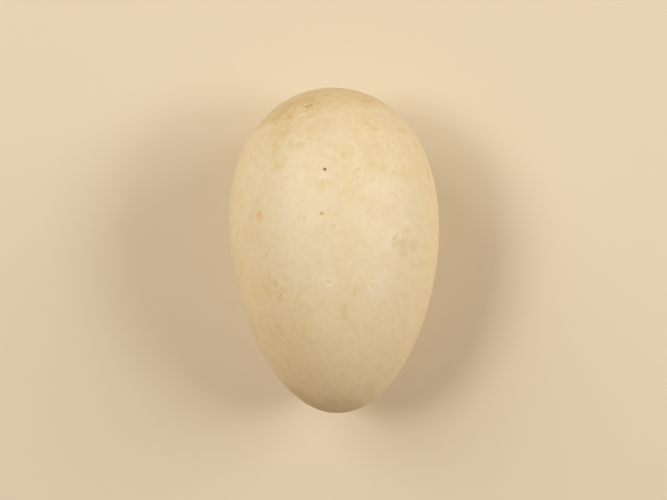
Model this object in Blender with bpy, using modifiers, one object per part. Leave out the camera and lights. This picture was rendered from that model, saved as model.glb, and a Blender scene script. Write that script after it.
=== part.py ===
"""A large, long white bird egg, lying on its side the way it comes to rest.

The egg is one solid. Its long axis runs along Y, with the blunt end at +Y and a little
higher than the narrow end. The origin is the middle of the small flat spot that the egg
rests on, straight below its centre of mass. Lengths are in metres.
"""

import math

import bpy

MM = 0.001

# Driving dimensions
EGG_LENGTH = 106.0 * MM
EGG_BREADTH = 68.0 * MM
REST_FLAT_DEPTH = 0.25 * MM

# The block that cuts the flat rest spot
CUTTER_SIDE = 34.0 * MM
CUTTER_HEIGHT = 2.5 * MM

# Preston's outline of a bird's egg is an ellipse whose breadth is multiplied by
# 1 + BLUNTNESS c + FULLNESS c^2 + SKEW c^3, where c runs from 1 at the blunt end to -1
# at the narrow end.
BLUNTNESS = 0.1545
FULLNESS = 0.0385
SKEW = -0.002

# Fineness of the faceted solid
OUTLINE_STATIONS = 48
TURN_SEGMENTS = 72
SUM_STEPS = 2000
AXIS_MERGE = 0.01 * MM

# Finish of the shell, as a linear colour
SHELL_COLOUR = (0.80, 0.68, 0.48, 1.0)
SHELL_ROUGHNESS = 0.55


def swelling(c):
    """How much the outline's breadth differs from an ellipse's, at the cosine c."""
    return 1 + BLUNTNESS * c + FULLNESS * c**2 + SKEW * c**3


def angles_pole_to_pole(steps):
    """Evenly spaced outline angles from the blunt pole, 0, to the narrow pole, pi."""
    return [math.pi * step / steps for step in range(steps + 1)]


WIDEST_SHARE = max(math.sin(a) * swelling(math.cos(a)) for a in angles_pole_to_pole(SUM_STEPS))


def outline(angle):
    """(distance from the long axis, place along it from mid-length) at an outline angle."""
    share = math.sin(angle) * swelling(math.cos(angle)) / WIDEST_SHARE
    return EGG_BREADTH / 2 * share, EGG_LENGTH / 2 * math.cos(angle)


def centre_of_mass():
    """Where the solid's centre of mass lies along the long axis, from mid-length."""
    volume = 0.0
    moment = 0.0
    for angle in angles_pole_to_pole(SUM_STEPS):
        radius, along = outline(angle)
        slice_share = radius**2 * math.sin(angle)
        volume += slice_share
        moment += slice_share * along
    return moment / volume


def rest_pose(centre):
    """(tilt, height of the centre of mass) of the egg lying still on a flat surface.

    It touches the surface at the side point that is nearest to the centre of mass, and
    the tilt lifts the blunt end by as much as the outline slopes there.
    """

    def distance(angle):
        radius, along = outline(angle)
        return math.hypot(radius, along - centre)

    sides = [a for a in angles_pole_to_pole(SUM_STEPS) if math.pi / 4 < a < 3 * math.pi / 4]
    touching = min(sides, key=distance)
    radius, along = outline(touching)
    return math.atan2(centre - along, radius), distance(touching)


def new_collection(name):
    collection = bpy.data.collections.new(name)
    bpy.context.scene.collection.children.link(collection)
    return collection


def shell_material():
    material = bpy.data.materials.new("eggshell")
    material.use_nodes = True
    shader = material.node_tree.nodes["Principled BSDF"]
    shader.inputs["Base Color"].default_value = SHELL_COLOUR
    shader.inputs["Roughness"].default_value = SHELL_ROUGHNESS
    shader.inputs["Metallic"].default_value = 0.0
    return material


def half_outline_mesh():
    """The outline at +X from the blunt pole down to the narrow pole, as a line of edges."""
    points = []
    for angle in angles_pole_to_pole(OUTLINE_STATIONS):
        radius, along = outline(angle)
        points.append((radius, 0.0, along))
    points[0] = (0.0, 0.0, EGG_LENGTH / 2)
    points[-1] = (0.0, 0.0, -EGG_LENGTH / 2)
    edges = [(i, i + 1) for i in range(OUTLINE_STATIONS)]
    mesh = bpy.data.meshes.new("egg_outline")
    mesh.from_pydata(points, edges, [])
    return mesh


def turn(obj):
    """Turns the object's outline about its own Z into a closed body."""
    screw = obj.modifiers.new("turned", "SCREW")
    screw.axis = "Z"
    screw.angle = 2 * math.pi
    screw.steps = TURN_SEGMENTS
    screw.render_steps = TURN_SEGMENTS
    screw.use_merge_vertices = True
    screw.merge_threshold = AXIS_MERGE
    screw.use_smooth_shade = True


def rest_flat_cutter(collection):
    """A block whose top is the surface that the egg rests on."""
    bpy.ops.mesh.primitive_cube_add(
        size=1,
        location=(0, 0, -CUTTER_HEIGHT / 2),
        scale=(CUTTER_SIDE, CUTTER_SIDE, CUTTER_HEIGHT),
    )
    cutter = bpy.context.object
    bpy.ops.object.transform_apply(location=False, rotation=False, scale=True)
    cutter.name = "rest_flat_cutter"
    cutter.hide_render = True
    cutter.display_type = "WIRE"
    for home in cutter.users_collection:
        home.objects.unlink(cutter)
    collection.objects.link(cutter)
    return cutter


def build_egg(collection, cutter):
    centre = centre_of_mass()
    tilt, height = rest_pose(centre)
    egg = bpy.data.objects.new("egg", half_outline_mesh())
    collection.objects.link(egg)
    egg.rotation_euler = (tilt - math.pi / 2, 0, 0)
    egg.location = (
        0,
        -centre * math.cos(tilt),
        height - REST_FLAT_DEPTH - centre * math.sin(tilt),
    )
    turn(egg)
    flat = egg.modifiers.new("rest_flat", "BOOLEAN")
    flat.operation = "DIFFERENCE"
    flat.object = cutter
    egg.data.materials.append(shell_material())
    return egg


def main():
    for leftover in list(bpy.data.objects):
        bpy.data.objects.remove(leftover)
    parts = new_collection("bird_egg")
    cutters = new_collection("cutters")
    build_egg(parts, rest_flat_cutter(cutters))


main()
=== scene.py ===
"""A large bird egg lying on its side on a pale floor, looked down on from straight above.

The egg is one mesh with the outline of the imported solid, finer, and with the small relief
of the shell. Its colour, stains, pores and chalky places are procedural. Lengths are in
metres unless a name ends in MM, and the marks are placed in millimetres as seen from above.
"""

import math
import random

import bmesh
import bpy
import numpy as np
from mathutils import Matrix, Vector, noise


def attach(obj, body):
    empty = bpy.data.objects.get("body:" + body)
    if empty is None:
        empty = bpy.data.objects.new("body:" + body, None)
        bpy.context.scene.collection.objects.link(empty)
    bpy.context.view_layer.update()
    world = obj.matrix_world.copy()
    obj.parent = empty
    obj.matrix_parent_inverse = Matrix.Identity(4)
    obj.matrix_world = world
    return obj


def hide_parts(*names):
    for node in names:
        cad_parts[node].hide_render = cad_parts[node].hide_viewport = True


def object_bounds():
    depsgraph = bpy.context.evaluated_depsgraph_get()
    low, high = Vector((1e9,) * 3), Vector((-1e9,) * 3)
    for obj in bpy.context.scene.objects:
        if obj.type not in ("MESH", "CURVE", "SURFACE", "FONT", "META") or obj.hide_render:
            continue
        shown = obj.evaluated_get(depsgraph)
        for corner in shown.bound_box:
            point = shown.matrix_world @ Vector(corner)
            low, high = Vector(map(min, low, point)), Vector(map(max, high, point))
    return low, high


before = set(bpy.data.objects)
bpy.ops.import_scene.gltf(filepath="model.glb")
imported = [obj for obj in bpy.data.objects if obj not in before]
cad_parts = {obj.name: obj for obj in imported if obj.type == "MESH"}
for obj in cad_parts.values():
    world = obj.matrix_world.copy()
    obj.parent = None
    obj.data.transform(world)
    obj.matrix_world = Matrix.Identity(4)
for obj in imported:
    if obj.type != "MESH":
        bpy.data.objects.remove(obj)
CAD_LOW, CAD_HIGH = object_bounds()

MM = 0.001

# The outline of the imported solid: an ellipse whose breadth is multiplied by
# 1 + BLUNTNESS c + FULLNESS c^2 + SKEW c^3, where c runs from 1 at the blunt end to -1.
EGG_LENGTH_MM = 106.0
EGG_BREADTH_MM = 68.0
REST_FLAT_MM = 0.25
BLUNTNESS = 0.1545
FULLNESS = 0.0385
SKEW = -0.002
OUTLINE_STEPS = 4000

# The upper side is searched for between the height of the centre of mass and twice that
# height plus some room
SEARCH_ROOM_MM = 5
HALVINGS = 40

# Fineness of the mesh: cells along each side of the cube that it starts from, and how many
# times the edges near a pit or a chalky patch are cut
CELLS = 110
PIT_CUTS, PIT_REACH_MM = 3, 1.9
PATCH_CUTS, PATCH_MARGIN_MM = 1, 1.0

# Relief of the shell: (height, wavelength) of its slow swells
SWELLS_MM = [(0.05, 31.0), (0.02, 9.0), (0.006, 3.0)]
BOX_ROOM_MM = 0.004

# Pits with a raised ring: (x, y, pit radius, pit depth, ring radius, ring height). A ring
# spreads to each side by a share of its radius.
RING_SPREAD = 0.4
PITS_MM = [
    (-2.35, 21.7, 0.32, 0.30, 0.75, 0.02),
    (-2.2, -12.5, 0.40, 0.12, 1.15, 0.035),
    (11.1, -13.9, 0.45, 0.08, 1.25, 0.03),
    (18.4, 0.2, 0.40, 0.14, 1.10, 0.04),
    (5.6, -16.3, 0.30, 0.06, 0.80, 0.02),
]

# Chalky patches with small grains: (x, y, half width, half length, grains)
PATCHES_MM = [
    (20.5, -1.0, 3.6, 6.0, 34),
    (14.5, -13.0, 5.5, 3.6, 26),
    (26.0, 29.5, 2.4, 4.5, 18),
    (24.7, -18.3, 1.2, 1.2, 5),
]
GRAIN_HEIGHTS_MM = (0.02, 0.06)
GRAIN_RADII_MM = (0.35, 0.75)
GRAIN_SEED = 16


def outline_table():
    """Distance from the long axis and place along it, from the blunt pole to the other."""
    angle = np.linspace(0, math.pi, OUTLINE_STEPS + 1)
    c = np.cos(angle)
    share = np.sin(angle) * (1 + BLUNTNESS * c + FULLNESS * c**2 + SKEW * c**3)
    return EGG_BREADTH_MM / 2 * share / share.max(), EGG_LENGTH_MM / 2 * c


RADIUS_MM, ALONG_MM = outline_table()


def rest_pose():
    """(place of the centre of mass along the axis, tilt, height of the centre of mass)."""
    slices = RADIUS_MM**2 * -np.gradient(ALONG_MM)
    centre = float((slices * ALONG_MM).sum() / slices.sum())
    reach = np.hypot(RADIUS_MM, ALONG_MM - centre)
    sides = slice(OUTLINE_STEPS // 4, 3 * OUTLINE_STEPS // 4)
    touching = OUTLINE_STEPS // 4 + int(np.argmin(reach[sides]))
    tilt = math.atan2(centre - ALONG_MM[touching], RADIUS_MM[touching])
    return centre, tilt, float(reach[touching])


CENTRE_MM, TILT, HEIGHT_MM = rest_pose()

# From the egg's own frame, whose Z is its long axis, to the frame of the part
TURN = Matrix.Rotation(TILT - math.pi / 2, 3, "X")
SHIFT_MM = Vector((0, 0, HEIGHT_MM - REST_FLAT_MM)) - TURN @ Vector((0, 0, CENTRE_MM))
AXIS = TURN @ Vector((0, 0, 1))


def to_part(points):
    """Points of the egg's own frame in the frame of the part."""
    return points @ np.array(TURN).T + np.array(SHIFT_MM)


def seen_point(x, y):
    """The point of the upper side that is straight above (x, y), found by halving."""
    low, high = HEIGHT_MM, 2 * HEIGHT_MM + SEARCH_ROOM_MM
    for _ in range(HALVINGS):
        middle = (low + high) / 2
        own = TURN.transposed() @ (Vector((x, y, middle)) - SHIFT_MM)
        radius = np.interp(-own.z, -ALONG_MM, RADIUS_MM, left=0.0, right=0.0)
        if math.hypot(own.x, own.y) < radius:
            low = middle
        else:
            high = middle
    return Vector((x, y, low))


# The egg's mesh


def cube_sphere(cells):
    """Unit directions and outward quads of a sphere made from the six sides of a cube."""
    steps = np.tan(np.linspace(-math.pi / 4, math.pi / 4, cells + 1))
    across, up = np.meshgrid(steps, steps, indexing="ij")
    side = np.stack([across, up, np.ones_like(across)], axis=-1).reshape(-1, 3)
    grid = np.arange((cells + 1) ** 2).reshape(cells + 1, cells + 1)
    corners = [grid[:-1, :-1], grid[1:, :-1], grid[1:, 1:], grid[:-1, 1:]]
    quads = np.stack(corners, axis=-1).reshape(-1, 4)
    turns = [Matrix.Identity(3), Matrix.Rotation(math.pi, 3, "X")]
    for quarter in range(4):
        upright = Matrix.Rotation(math.pi / 2, 3, "Y")
        turns.append(Matrix.Rotation(quarter * math.pi / 2, 3, "Z") @ upright)
    points = np.concatenate([side @ np.array(turn).T for turn in turns])
    faces = np.concatenate([quads + k * len(side) for k in range(len(turns))])
    points /= np.linalg.norm(points, axis=1, keepdims=True)
    keys = np.round(points, 6)
    _, first, index = np.unique(keys, axis=0, return_index=True, return_inverse=True)
    return points[first], index.reshape(-1)[faces]


def on_shell(directions):
    """The egg's smooth surface in the given directions from mid-length, in its own frame."""
    polar = np.arctan2(np.hypot(directions[:, 0], directions[:, 1]), directions[:, 2])
    table = np.arctan2(RADIUS_MM, ALONG_MM)
    radius = np.interp(polar, table, RADIUS_MM)
    along = np.interp(polar, table, ALONG_MM)
    spin = np.arctan2(directions[:, 1], directions[:, 0])
    return np.stack([radius * np.cos(spin), radius * np.sin(spin), along], axis=-1)


def cut_finer(ball, centre, reach, cuts):
    """Divides the faces of the ball that map near a place on the egg."""
    middles = np.array([face.calc_center_median().normalized() for face in ball.faces])
    places = to_part(on_shell(middles))
    near = np.linalg.norm(places - np.array(centre), axis=1) < reach
    faces = [face for face, inside in zip(ball.faces, near) if inside]
    edges = list({edge for face in faces for edge in face.edges})
    bmesh.ops.subdivide_edges(ball, edges=edges, cuts=cuts, use_grid_fill=True)


def grains():
    """Small chalky grains on the patches: (place, radius, height), in millimetres."""
    chance = random.Random(GRAIN_SEED)
    found = []
    for x, y, half_width, half_length, count in PATCHES_MM:
        for _ in range(count):
            turn, out = chance.uniform(0, 2 * math.pi), math.sqrt(chance.random())
            across, along = half_width * out * math.cos(turn), half_length * out * math.sin(turn)
            radius, height = chance.uniform(*GRAIN_RADII_MM), chance.uniform(*GRAIN_HEIGHTS_MM)
            found.append((seen_point(x + across, y + along), radius, height))
    return found


def slow_swell(points):
    """Slow waves of the shell, each read from a place of its own in the noise."""
    lift = np.zeros(len(points))
    for step, (height, length) in enumerate(SWELLS_MM):
        offset = Vector((3.1 + step, 6.2 - step, 9.3))
        lift += height * np.array([noise.noise(Vector(p) / length + offset) for p in points])
    return lift


def relief(points):
    """How far the shell stands out from the smooth outline at each point."""
    lift = slow_swell(points)
    for x, y, pit_radius, pit_depth, ring_radius, ring_height in PITS_MM:
        away = np.linalg.norm(points - np.array(seen_point(x, y)), axis=1)
        lift -= pit_depth * np.exp(-((away / pit_radius) ** 2))
        lift += ring_height * np.exp(-(((away - ring_radius) / (RING_SPREAD * ring_radius)) ** 2))
    for place, radius, height in grains():
        away = np.linalg.norm(points - np.array(place), axis=1)
        lift += height * np.exp(-((away / radius) ** 2))
    return lift


def into_the_box(points):
    """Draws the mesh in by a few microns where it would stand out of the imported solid's box."""
    low, high = np.array(CAD_LOW) / MM, np.array(CAD_HIGH) / MM
    for axis, middle in enumerate((0, 0, low[2])):
        most = max(points[:, axis].max() - middle, 1e-9)
        least = min(points[:, axis].min() - middle, -1e-9)
        room_up, room_down = high[axis] - BOX_ROOM_MM - middle, low[axis] + BOX_ROOM_MM - middle
        upper = points[:, axis] > middle
        if most > room_up:
            points[upper, axis] = middle + (points[upper, axis] - middle) * room_up / most
        if axis < 2 and least < room_down:
            points[~upper, axis] = middle + (points[~upper, axis] - middle) * room_down / least
    return points


def egg_mesh():
    directions, quads = cube_sphere(CELLS)
    mesh = bpy.data.meshes.new("egg_shell")
    mesh.from_pydata(directions.tolist(), [], quads.tolist())
    ball = bmesh.new()
    ball.from_mesh(mesh)
    for x, y, half_width, half_length, _ in PATCHES_MM:
        reach = max(half_width, half_length) + PATCH_MARGIN_MM
        cut_finer(ball, seen_point(x, y), reach, PATCH_CUTS)
    for x, y, *_ in PITS_MM:
        cut_finer(ball, seen_point(x, y), PIT_REACH_MM, PIT_CUTS)
    directions = np.array([vertex.co.normalized() for vertex in ball.verts])
    points = to_part(on_shell(directions))
    normals = directions @ np.array(TURN).T
    points = points + normals * relief(points)[:, None]
    points[:, 2] = np.maximum(points[:, 2], 0.0)
    points = into_the_box(points)
    for vertex, place in zip(ball.verts, points * MM):
        vertex.co = place
    ball.to_mesh(mesh)
    ball.free()
    mesh.shade_smooth()
    return mesh


# The shell's material


class Nodes:
    """A few short ways to add shader nodes, each returning an output socket."""

    def __init__(self, material):
        self.tree = material.node_tree

    def add(self, kind, **settings):
        node = self.tree.nodes.new(kind)
        for name, value in settings.items():
            setattr(node, name, value)
        return node

    def set(self, socket, value):
        if isinstance(value, bpy.types.NodeSocket):
            self.tree.links.new(value, socket)
        else:
            socket.default_value = value

    def math(self, operation, a, b=0.0, c=0.0):
        node = self.add("ShaderNodeMath", operation=operation)
        for socket, given in zip(node.inputs, (a, b, c)):
            self.set(socket, given)
        return node.outputs[0]

    def vector(self, operation, a, b=(0, 0, 0), scale=1.0):
        node = self.add("ShaderNodeVectorMath", operation=operation)
        self.set(node.inputs[0], a)
        if operation == "SCALE":
            self.set(node.inputs["Scale"], scale)
        else:
            self.set(node.inputs[1], b)
        return node.outputs["Value" if operation in ("DISTANCE", "DOT_PRODUCT") else "Vector"]

    def noise(self, place, scale, detail=2.0, roughness=0.5, output=0):
        node = self.add("ShaderNodeTexNoise")
        self.set(node.inputs["Vector"], place)
        node.inputs["Scale"].default_value = scale
        node.inputs["Detail"].default_value = detail
        node.inputs["Roughness"].default_value = roughness
        return node.outputs[output]

    def step(self, value, start, end, low=0.0, high=1.0):
        """low before start, high after end, smooth between; start may be above end."""
        node = self.add("ShaderNodeMapRange", interpolation_type="SMOOTHSTEP")
        for socket, given in zip(node.inputs, (value, start, end, low, high)):
            self.set(socket, given)
        return node.outputs[0]

    def mix(self, share, a, b, blend="MIX"):
        node = self.add("ShaderNodeMix", data_type="RGBA", blend_type=blend, clamp_factor=True)
        self.set(node.inputs["Factor"], share)
        self.set(node.inputs[6], a)
        self.set(node.inputs[7], b)
        return node.outputs[2]

    def tint(self, share, colour, tint):
        """The colour multiplied by a tint where share is 1."""
        return self.mix(share, colour, tint, blend="MULTIPLY")


CREAM = (0.850, 0.657, 0.414, 1)
PALE_CREAM = (0.860, 0.681, 0.455, 1)
CHALK = (0.885, 0.740, 0.540, 1)

# Tints that multiply the cream where a stain or a dot lies on it, and where the ends of the egg are
# made darker and browner
SALLOW = (0.942, 0.935, 0.872, 1)
GRITTY = (0.950, 0.944, 0.928, 1)
BUTTERY = (0.998, 1.000, 0.960, 1)
WARM = (0.990, 0.955, 0.885, 1)
STRAW = (0.960, 0.938, 0.905, 1)
YELLOW = (0.975, 0.958, 0.890, 1)
OCHRE = (0.955, 0.930, 0.820, 1)
AMBER = (0.980, 0.915, 0.780, 1)
BLUSH = (0.965, 0.885, 0.790, 1)
UMBER = (0.940, 0.895, 0.820, 1)
TAN = (0.885, 0.825, 0.730, 1)
SOOTY = (0.925, 0.897, 0.825, 1)
ORANGE = (0.995, 0.895, 0.700, 1)
SIENNA = (0.920, 0.800, 0.640, 1)
RUST = (0.840, 0.560, 0.220, 1)
PINK = (0.980, 0.920, 0.870, 1)
BROWN = (0.720, 0.640, 0.500, 1)
GREY = (0.835, 0.800, 0.755, 1)
DARK = (0.160, 0.085, 0.040, 1)
BLEACHED = (1.025, 1.035, 1.045, 1)

# A short curved scratch near the blunt end, as a row of spots seen from above
SCRATCH_FROM_MM, SCRATCH_TO_MM = (-8.0, 42.0), (-5.8, 42.4)
SCRATCH_SAG_MM = 0.2
SCRATCH_SPOTS = 8
SCRATCH_REACH_MM = 0.55


def scratch_spots():
    spots = []
    for step in range(SCRATCH_SPOTS):
        share = step / (SCRATCH_SPOTS - 1)
        x = SCRATCH_FROM_MM[0] + share * (SCRATCH_TO_MM[0] - SCRATCH_FROM_MM[0])
        y = SCRATCH_FROM_MM[1] + share * (SCRATCH_TO_MM[1] - SCRATCH_FROM_MM[1])
        spots.append((x, y - SCRATCH_SAG_MM * math.sin(math.pi * share), SCRATCH_REACH_MM))
    return spots


# Marks seen from above, in millimetres: (tint, kind of edge, how ragged, [(x, y, reach)])
MARKS_MM = [
    (WARM, "wide", 0.6, [
        (-17.0, -28.0, 20.0), (-12.0, -38.0, 18.0), (-20.0, -36.0, 11.0), (1.0, -53.0, 15.0),
        (-22.0, -14.0, 12.0),
    ]),
    (STRAW, "patchy", 2.4, [
        (-5.0, 35.0, 13.0), (3.0, 36.0, 13.0), (10.0, 38.0, 10.0), (13.0, 24.0, 10.0),
        (-12.0, 35.0, 11.0), (15.0, 11.0, 9.0),
    ]),
    (STRAW, "wide", 1.6, [
        (-3.0, 43.0, 10.0), (3.0, 43.5, 9.0), (9.0, 43.0, 7.0), (-2.0, 36.0, 7.0),
        (-11.0, 36.5, 6.0), (17.0, 37.0, 7.0), (12.0, 29.0, 6.0),
    ]),
    # Darker and browner over the cap of the blunt end and along its rim
    (TAN, "wide", 1.2, [
        (-20.5, 39.0, 6.0), (-16.0, 42.0, 9.0), (-10.5, 44.0, 11.5), (-4.0, 46.0, 13.0),
        (2.5, 47.5, 15.0), (8.5, 46.5, 13.0), (14.0, 45.0, 8.5),
    ]),
    # Browner patches over the cap of the blunt end
    (UMBER, "patchy", 1.8, [
        (-14.6, 41.6, 4.5), (-12.0, 43.2, 4.5), (-9.5, 44.0, 4.5), (-6.5, 44.5, 4.0),
        (-18.0, 38.8, 3.0),
    ]),
    (YELLOW, "patchy", 3.2, [
        (-15.7, 34.0, 5.6), (-17.3, 29.2, 5.0), (-16.0, 24.8, 5.0), (-9.6, 29.0, 5.2),
        (-7.0, 33.3, 5.0), (3.1, 25.5, 5.2), (-6.0, 23.5, 5.0), (14.0, 22.0, 5.0),
        (-3.0, 17.4, 3.0), (12.0, 35.5, 5.4), (20.5, 20.5, 4.6), (22.6, 34.5, 4.0),
        (-28.8, 27.1, 3.4), (-13.6, 39.4, 4.0), (-6.8, 39.8, 3.6), (5.0, 15.0, 4.0),
    ]),
    (OCHRE, "speckled", 2.4, [
        (-17.9, 35.0, 1.8), (-14.8, 34.0, 2.1), (-13.4, 33.7, 1.8), (-9.9, 29.2, 1.7),
        (-7.0, 31.3, 1.5), (-7.3, 33.8, 1.6), (11.8, 38.4, 1.7), (13.0, 33.9, 1.8),
        (15.1, 21.6, 1.6), (3.3, 25.8, 1.6), (12.0, 23.0, 1.6), (17.1, 29.0, 1.5),
        (21.4, 20.1, 1.7), (-3.0, 17.6, 1.7), (-7.9, 18.9, 1.6), (-23.0, 13.8, 1.2),
        (-23.0, 1.6, 1.6), (-29.2, -5.4, 1.6), (-17.1, -17.4, 1.6), (6.0, -15.4, 2.1),
        (-14.9, 38.9, 1.9), (-7.4, 40.7, 1.5),
    ]),
    (AMBER, "speckled", 1.6, [
        (-17.7, 29.4, 1.5), (-17.9, 27.8, 1.4), (-14.9, 25.1, 1.3), (-17.2, 23.4, 1.4),
        (-15.8, 23.6, 1.0), (10.7, 36.0, 1.6), (-25.1, 32.7, 1.5), (13.0, 43.5, 1.8),
        (11.6, 43.9, 1.4), (22.1, 34.2, 1.6), (26.3, 30.0, 2.4), (27.1, 28.6, 2.0),
        (28.6, 26.3, 2.4), (29.9, 22.8, 2.2), (30.4, 19.8, 2.4), (31.2, 15.8, 2.2),
        (-13.3, 39.1, 2.0), (-7.2, 42.1, 1.5),
    ]),
    # The last three spots darken the rim of the blunt end
    (BLUSH, "speckled", 0.7, [
        (2.7, -20.4, 1.9), (2.4, -21.8, 1.9), (2.3, -23.1, 1.7), (-18.3, -12.4, 1.7),
        (-5.8, 38.9, 1.7), (-17.3, 37.4, 1.9), (-7.0, 47.3, 1.8), (-4.1, 47.5, 1.8),
        (-1.3, 47.6, 1.7),
    ]),
    (ORANGE, "speckled", 0.9, [
        (-23.0, 8.8, 2.2), (-22.4, 7.7, 2.1), (30.6, 19.6, 1.6), (-12.8, 38.8, 1.3),
    ]),
    (PINK, "wide", 2.0, [
        (-20.9, -14.8, 3.0), (-15.6, -14.5, 2.0), (-5.1, -5.7, 1.5), (0.5, 8.0, 1.2),
    ]),
    (SOOTY, "streak", 2.8, [
        (21.6, -1.8, 4.2), (18.9, -0.8, 2.8), (23.7, -2.0, 3.2), (21.8, 2.4, 3.2),
        (21.0, -4.2, 2.6),
    ]),
    (SOOTY, "narrow", 1.0, [
        (-15.7, 16.6, 0.9), (-8.7, 6.9, 0.8), (-9.5, 12.5, 0.7), (-14.4, -2.8, 0.7),
        (7.9, 38.9, 1.0),
    ]),
    # Darker and browner at the rim of the narrow end
    (TAN, "wide", 0.8, [(-13.0, -49.0, 9.0), (-9.0, -53.0, 9.0)]),
    (SIENNA, "narrow", 1.2, [
        (-22.7, 9.1, 1.1), (-23.2, 8.2, 0.7), (-22.2, 7.6, 0.6), (-12.8, 38.6, 0.90),
    ]),
    (BLUSH, "narrow", 1.2, [
        (2.1, -19.9, 0.60), (2.5, -21.2, 0.60), (1.5, -21.0, 0.50), (3.2, -19.8, 0.50),
        (-18.6, -12.0, 0.70), (-17.9, -12.8, 0.70), (-18.1, -11.6, 0.60),
    ]),
    (BLEACHED, "narrow", 0.6, [
        (-2.2, -12.5, 2.1), (11.1, -13.9, 1.9), (21.5, 4.3, 1.8), (24.9, 1.2, 1.6),
        (23.0, -4.6, 1.2), (16.4, -2.2, 1.8),
    ]),
    (RUST, "narrow", 0.6, [(-3.55, 8.3, 0.82)]),
    (BROWN, "narrow", 0.6, scratch_spots() + [
        (-7.4, 42.0, 0.55), (-6.1, 42.4, 0.85), (-3.8, 8.5, 0.50), (-16.7, -16.1, 0.60),
        (5.6, -16.3, 0.42), (-11.9, 43.7, 0.60), (-8.6, 46.6, 0.60),
    ]),
    (GREY, "narrow", 0.6, [
        (-0.4, 4.7, 0.65), (0.1, 4.4, 0.65), (7.3, 21.7, 0.50), (7.9, 21.5, 0.55),
        (-20.8, -3.7, 0.75), (18.4, 0.2, 0.65), (-2.2, -12.5, 0.75), (11.1, -13.6, 0.55),
        (11.1, -14.3, 0.50), (16.9, -11.3, 0.45), (-2.9, 20.6, 0.35), (-1.9, 19.8, 0.35),
    ]),
    (DARK, "narrow", 0.2, [(-2.35, 21.7, 0.84)]),
]
PALE_MM = [(-9.0, -4.0, 20.0), (-12.0, 8.0, 16.0), (-24.0, 20.0, 14.0)]
CHALK_MM = [
    (-2.5, 20.1, 1.5), (16.1, -1.6, 2.8), (22.5, 5.5, 2.2), (15.8, -11.1, 2.8),
    (13.4, -12.8, 4.4), (11.0, -15.0, 3.0), (4.2, -5.8, 1.1), (24.7, -18.3, 1.4),
    (-2.2, -12.5, 2.2), (20.4, 1.4, 1.8), (23.4, 1.0, 1.4),
]
PALE_RAGGED = 0.6
CHALK_RAGGED = 6.0
CHALK_SHARE = 0.45

# Where a mark starts and is full, on a scale from 0 at its reach to 1 at its middle
MARK_EDGE = (0.05, 0.75)

# Kinds of edge, each a noise: (cells in a millimetre, detail, roughness)
EDGE_NOISES = {
    "wide": (0.75, 4, 0.65),
    "patchy": (0.60, 6, 0.75),
    "streak": (1.1, 6, 0.8),
    "narrow": (3.0, 2, 0.5),
    "speckled": (1.5, 3, 0.7),
}
STREAK_STRETCH = (1.0, 0.25, 1.0)

# Mottling of the cream: scales in cells in a millimetre, and the levels of the noise at
# which each tint starts and is full
BROAD_SCALE, BROAD_LEVELS = 0.045, (0.35, 0.65)
MOTTLE_SCALE, MOTTLE_LEVELS = 0.32, (0.42, 0.66)
GRAIN_SCALE, GRAIN_LEVELS = 1.3, (0.36, 0.66)
BUTTERY_LEVELS = (-0.12, 0.12)

# Nest stain: it starts at a lower level of its noise towards the blunt end
STAIN_SCALE, STAIN_WARP_SCALE = 0.21, 0.5
STAIN_ALONG_MM, STAIN_STARTS = (5.0, 52.0), (0.60, 0.48)
STAIN_RISE = 0.16
STAIN_SHARE = 0.55

# Satin gloss, rougher where the mottling is strong, and fine pores
GLOSS_LEVELS, GLOSS_ROUGHNESS = (0.3, 0.7), (0.48, 0.60)
PORE_SCALE, PORE_HEIGHT_MM = 1.6, 0.02

# Stains and dots of the sides that face the floor, scattered by chance: (tint, kind of edge,
# how ragged, how many, least reach, most reach)
HIDDEN_MARKS_MM = [
    (YELLOW, "patchy", 3.2, 24, 3.0, 8.0),
    (OCHRE, "patchy", 3.4, 14, 2.5, 6.0),
    (OCHRE, "speckled", 2.4, 22, 1.2, 2.4),
    (TAN, "wide", 1.8, 7, 4.0, 9.0),
    (AMBER, "speckled", 1.6, 14, 1.2, 2.6),
    (SOOTY, "streak", 2.6, 7, 2.5, 5.0),
    (SIENNA, "narrow", 1.2, 6, 0.6, 1.3),
    (RUST, "narrow", 0.6, 3, 0.5, 0.9),
    (GREY, "narrow", 0.6, 14, 0.5, 0.9),
]
HIDDEN_BELOW_MM = 28.0
HIDDEN_SEED = 41


def on_shell_above(spots):
    """Spots of the upper side, each given by where it is seen from above."""
    return [(seen_point(x, y), reach) for x, y, reach in spots]


def seen_marks():
    for tint, edge, ragged, spots in MARKS_MM:
        yield tint, edge, ragged, on_shell_above(spots)


def hidden_marks():
    """Marks like the seen ones, more of them towards the blunt end."""
    chance = random.Random(HIDDEN_SEED)
    for tint, edge, ragged, count, least, most in HIDDEN_MARKS_MM:
        spots = []
        while len(spots) < count:
            way = Vector([chance.gauss(0, 1) for _ in range(3)]).normalized()
            if chance.random() > 0.5 + 0.5 * way.z:
                continue
            place = to_part(on_shell(np.array([way])))[0]
            if place[2] < HIDDEN_BELOW_MM:
                spots.append((Vector(place), chance.uniform(least, most)))
        yield tint, edge, ragged, spots


def mark_mask(nodes, place, spots, ragged, rough_noise):
    """1 inside any of the spots and 0 outside, with an edge made ragged by noise."""
    field = -1.0
    for middle, reach in spots:
        away = nodes.vector("DISTANCE", place, tuple(middle))
        field = nodes.math("MAXIMUM", field, nodes.math("MULTIPLY_ADD", away, -1 / reach, 1.0))
    field = nodes.math("MULTIPLY_ADD", rough_noise, ragged, field)
    return nodes.step(field, *MARK_EDGE)


def edge_noises(nodes, place):
    """The noises that make the edges of marks uneven, each about zero."""
    found = {}
    for kind, (scale, detail, roughness) in EDGE_NOISES.items():
        at = nodes.vector("MULTIPLY", place, STREAK_STRETCH) if kind == "streak" else place
        found[kind] = nodes.math("SUBTRACT", nodes.noise(at, scale, detail, roughness), 0.5)
    return found


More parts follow.
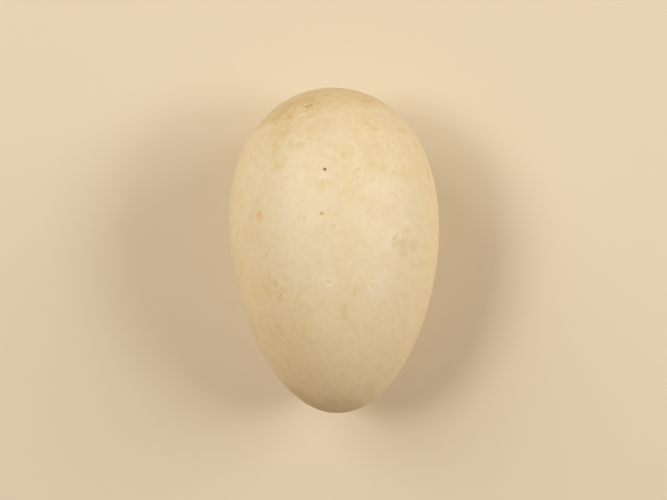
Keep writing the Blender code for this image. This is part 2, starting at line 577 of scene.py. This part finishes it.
def clean_shell(nodes, place, mottle, edges):
    """The cream, with its slow and quick changes and a fine grain."""
    broad = nodes.step(nodes.noise(place, BROAD_SCALE, detail=3), *BROAD_LEVELS)
    pale = mark_mask(nodes, place, on_shell_above(PALE_MM), PALE_RAGGED, edges["wide"])
    grain = nodes.noise(place, GRAIN_SCALE, detail=3, roughness=0.65)
    colour = nodes.mix(nodes.math("MAXIMUM", broad, pale), CREAM, PALE_CREAM)
    colour = nodes.tint(nodes.step(mottle, *MOTTLE_LEVELS), colour, SALLOW)
    colour = nodes.tint(nodes.step(grain, *GRAIN_LEVELS), colour, GRITTY)
    return nodes.tint(nodes.step(edges["patchy"], *BUTTERY_LEVELS), colour, BUTTERY)


def nest_stain(nodes, place):
    """How much yellow nest stain there is: small patches, densest at the blunt end."""
    along = nodes.vector("DOT_PRODUCT", place, tuple(AXIS))
    warped = nodes.vector("ADD", place, nodes.noise(place, STAIN_WARP_SCALE, output=1))
    stain = nodes.noise(warped, STAIN_SCALE, detail=6, roughness=0.68)
    start = nodes.step(along, *STAIN_ALONG_MM, *STAIN_STARTS)
    stain = nodes.step(nodes.math("SUBTRACT", stain, start), 0.0, STAIN_RISE)
    return nodes.math("MULTIPLY", stain, STAIN_SHARE)


def chalky_bloom(nodes, place, edges):
    """How much of the small pale grains there is."""
    chalk = mark_mask(nodes, place, on_shell_above(CHALK_MM), CHALK_RAGGED, edges["speckled"])
    return nodes.math("MULTIPLY", chalk, CHALK_SHARE)


def shell_colour(nodes, place, mottle):
    edges = edge_noises(nodes, place)
    colour = clean_shell(nodes, place, mottle, edges)
    colour = nodes.tint(nest_stain(nodes, place), colour, OCHRE)
    colour = nodes.mix(chalky_bloom(nodes, place, edges), colour, CHALK)
    for tint, edge, ragged, spots in [*seen_marks(), *hidden_marks()]:
        colour = nodes.tint(mark_mask(nodes, place, spots, ragged, edges[edge]), colour, tint)
    return colour


def shell_material():
    material = bpy.data.materials.new("eggshell")
    material.use_nodes = True
    shader = material.node_tree.nodes["Principled BSDF"]
    nodes = Nodes(material)
    place = nodes.add("ShaderNodeTexCoord").outputs["Object"]
    place = nodes.vector("SCALE", place, scale=1 / MM)
    mottle = nodes.noise(place, MOTTLE_SCALE, detail=5, roughness=0.62)
    nodes.set(shader.inputs["Base Color"], shell_colour(nodes, place, mottle))
    nodes.set(shader.inputs["Roughness"], nodes.step(mottle, *GLOSS_LEVELS, *GLOSS_ROUGHNESS))

    bump = nodes.add("ShaderNodeBump")
    bump.inputs["Strength"].default_value = 1.0
    bump.inputs["Distance"].default_value = MM
    pores = nodes.noise(place, PORE_SCALE, detail=3, roughness=0.6)
    nodes.set(bump.inputs["Height"], nodes.math("MULTIPLY", pores, PORE_HEIGHT_MM))
    nodes.set(shader.inputs["Normal"], bump.outputs[0])
    return material


# Camera, floor and light

CAMERA_MM = (-0.335, -2.677, 484.99)
CAMERA_ROLL = math.radians(-1.451)
CAMERA_LENS, CAMERA_SENSOR = 75.0, 36.0
CAMERA_CLIP_START = 0.01
FLOOR_SIDE = 6.0
FLOOR_COLOUR = (0.771, 0.625, 0.442, 1)
FLOOR_ROUGHNESS = 0.9

# Lamps: (name, azimuth, elevation, size, power), on a circle around the egg. Azimuth 0 is +X
# and 90 is +Y, in degrees.
LAMPS = [
    ("left_high_box", 170, 58, 0.2, 1.90),
    ("left_low_box", 140, 46, 0.4, 2.15),
    ("right_high_box", 0, 48, 0.2, 1.39),
    ("right_low_box", 20, 36, 0.4, 2.50),
]
LAMP_DISTANCE = 0.8
LAMP_COLOUR = (1.0, 0.922, 0.812)
BACKDROP_COLOUR = (1.0, 0.84, 0.62, 1)
BACKDROP_STRENGTH = 0.60
# Painted light: the floor starts to glow at the first distance from the middle and glows fully at the
# second
FLOOR_GLOW_FROM, FLOOR_GLOW_TO = 0.22, 1.20
RESPONSE = 1.0
RESPONSE_POINTS = (0.06, 0.125, 0.25, 0.375, 0.5, 0.625, 0.75, 0.875)


def add_camera():
    data = bpy.data.cameras.new("camera")
    data.sensor_width = CAMERA_SENSOR
    data.lens = CAMERA_LENS
    data.clip_start = CAMERA_CLIP_START
    camera = bpy.data.objects.new("camera", data)
    camera.location = Vector(CAMERA_MM) * MM
    camera.rotation_euler = (0, 0, CAMERA_ROLL)
    bpy.context.scene.collection.objects.link(camera)
    bpy.context.scene.camera = camera


def add_floor():
    """A plain floor that the lamps light near the egg. Farther off it glows, painted light that makes
    it as pale as the backdrop.
    """
    side = FLOOR_SIDE / 2
    mesh = bpy.data.meshes.new("floor")
    corners = [(-side, -side, 0), (side, -side, 0), (side, side, 0), (-side, side, 0)]
    mesh.from_pydata(corners, [], [(0, 1, 2, 3)])
    material = bpy.data.materials.new("floor")
    material.use_nodes = True
    shader = material.node_tree.nodes["Principled BSDF"]
    shader.inputs["Base Color"].default_value = FLOOR_COLOUR
    shader.inputs["Roughness"].default_value = FLOOR_ROUGHNESS
    shader.inputs["Emission Color"].default_value = BACKDROP_COLOUR
    nodes = Nodes(material)
    place = nodes.add("ShaderNodeTexCoord").outputs["Object"]
    away = nodes.vector("DISTANCE", place, (0, 0, 0))
    # Painted light: the floor's emission grows from nothing to the backdrop's strength with distance
    # from the middle
    glow = nodes.step(away, FLOOR_GLOW_FROM, FLOOR_GLOW_TO, 0.0, BACKDROP_STRENGTH)
    nodes.set(shader.inputs["Emission Strength"], glow)
    mesh.materials.append(material)
    floor = bpy.data.objects.new("floor", mesh)
    bpy.context.scene.collection.objects.link(floor)


def add_soft_box(name, azimuth, elevation, size, power):
    """A square soft box aimed at the egg."""
    turn, rise = math.radians(azimuth), math.radians(elevation)
    way = Vector((math.cos(turn) * math.cos(rise), math.sin(turn) * math.cos(rise), math.sin(rise)))
    data = bpy.data.lights.new(name, "AREA")
    data.shape = "SQUARE"
    data.size = size
    data.energy = power
    data.color = LAMP_COLOUR
    box = bpy.data.objects.new(name, data)
    box.location = way * LAMP_DISTANCE
    box.rotation_euler = way.to_track_quat("Z", "Y").to_euler()
    bpy.context.scene.collection.objects.link(box)


def add_backdrop():
    """A pale backdrop beyond the floor, which only the camera sees and which gives no light."""
    world = bpy.data.worlds.new("studio")
    world.use_nodes = True
    tree = world.node_tree
    background = tree.nodes["Background"]
    background.inputs["Color"].default_value = BACKDROP_COLOUR
    path = tree.nodes.new("ShaderNodeLightPath")
    seen = tree.nodes.new("ShaderNodeMath")
    seen.operation = "MULTIPLY"
    seen.inputs[1].default_value = BACKDROP_STRENGTH
    tree.links.new(path.outputs["Is Camera Ray"], seen.inputs[0])
    tree.links.new(seen.outputs[0], background.inputs["Strength"])
    bpy.context.scene.world = world


def set_response(view):
    """A camera's response to light, which holds back the bright tones: y grows as 1 - e^-kx."""
    view.view_transform = "Standard"
    view.look = "None"
    view.use_curve_mapping = True
    combined = view.curve_mapping.curves[3]
    for light in RESPONSE_POINTS:
        tone = (1 - math.exp(-RESPONSE * light)) / (1 - math.exp(-RESPONSE))
        combined.points.new(light, tone)
    view.curve_mapping.update()


def add_egg():
    egg = bpy.data.objects.new("egg_shell", egg_mesh())
    bpy.context.scene.collection.objects.link(egg)
    egg.data.materials.append(shell_material())
    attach(egg, "root")
    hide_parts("egg")


add_camera()
add_floor()
add_egg()
for lamp in LAMPS:
    add_soft_box(*lamp)
add_backdrop()
set_response(bpy.context.scene.view_settings)
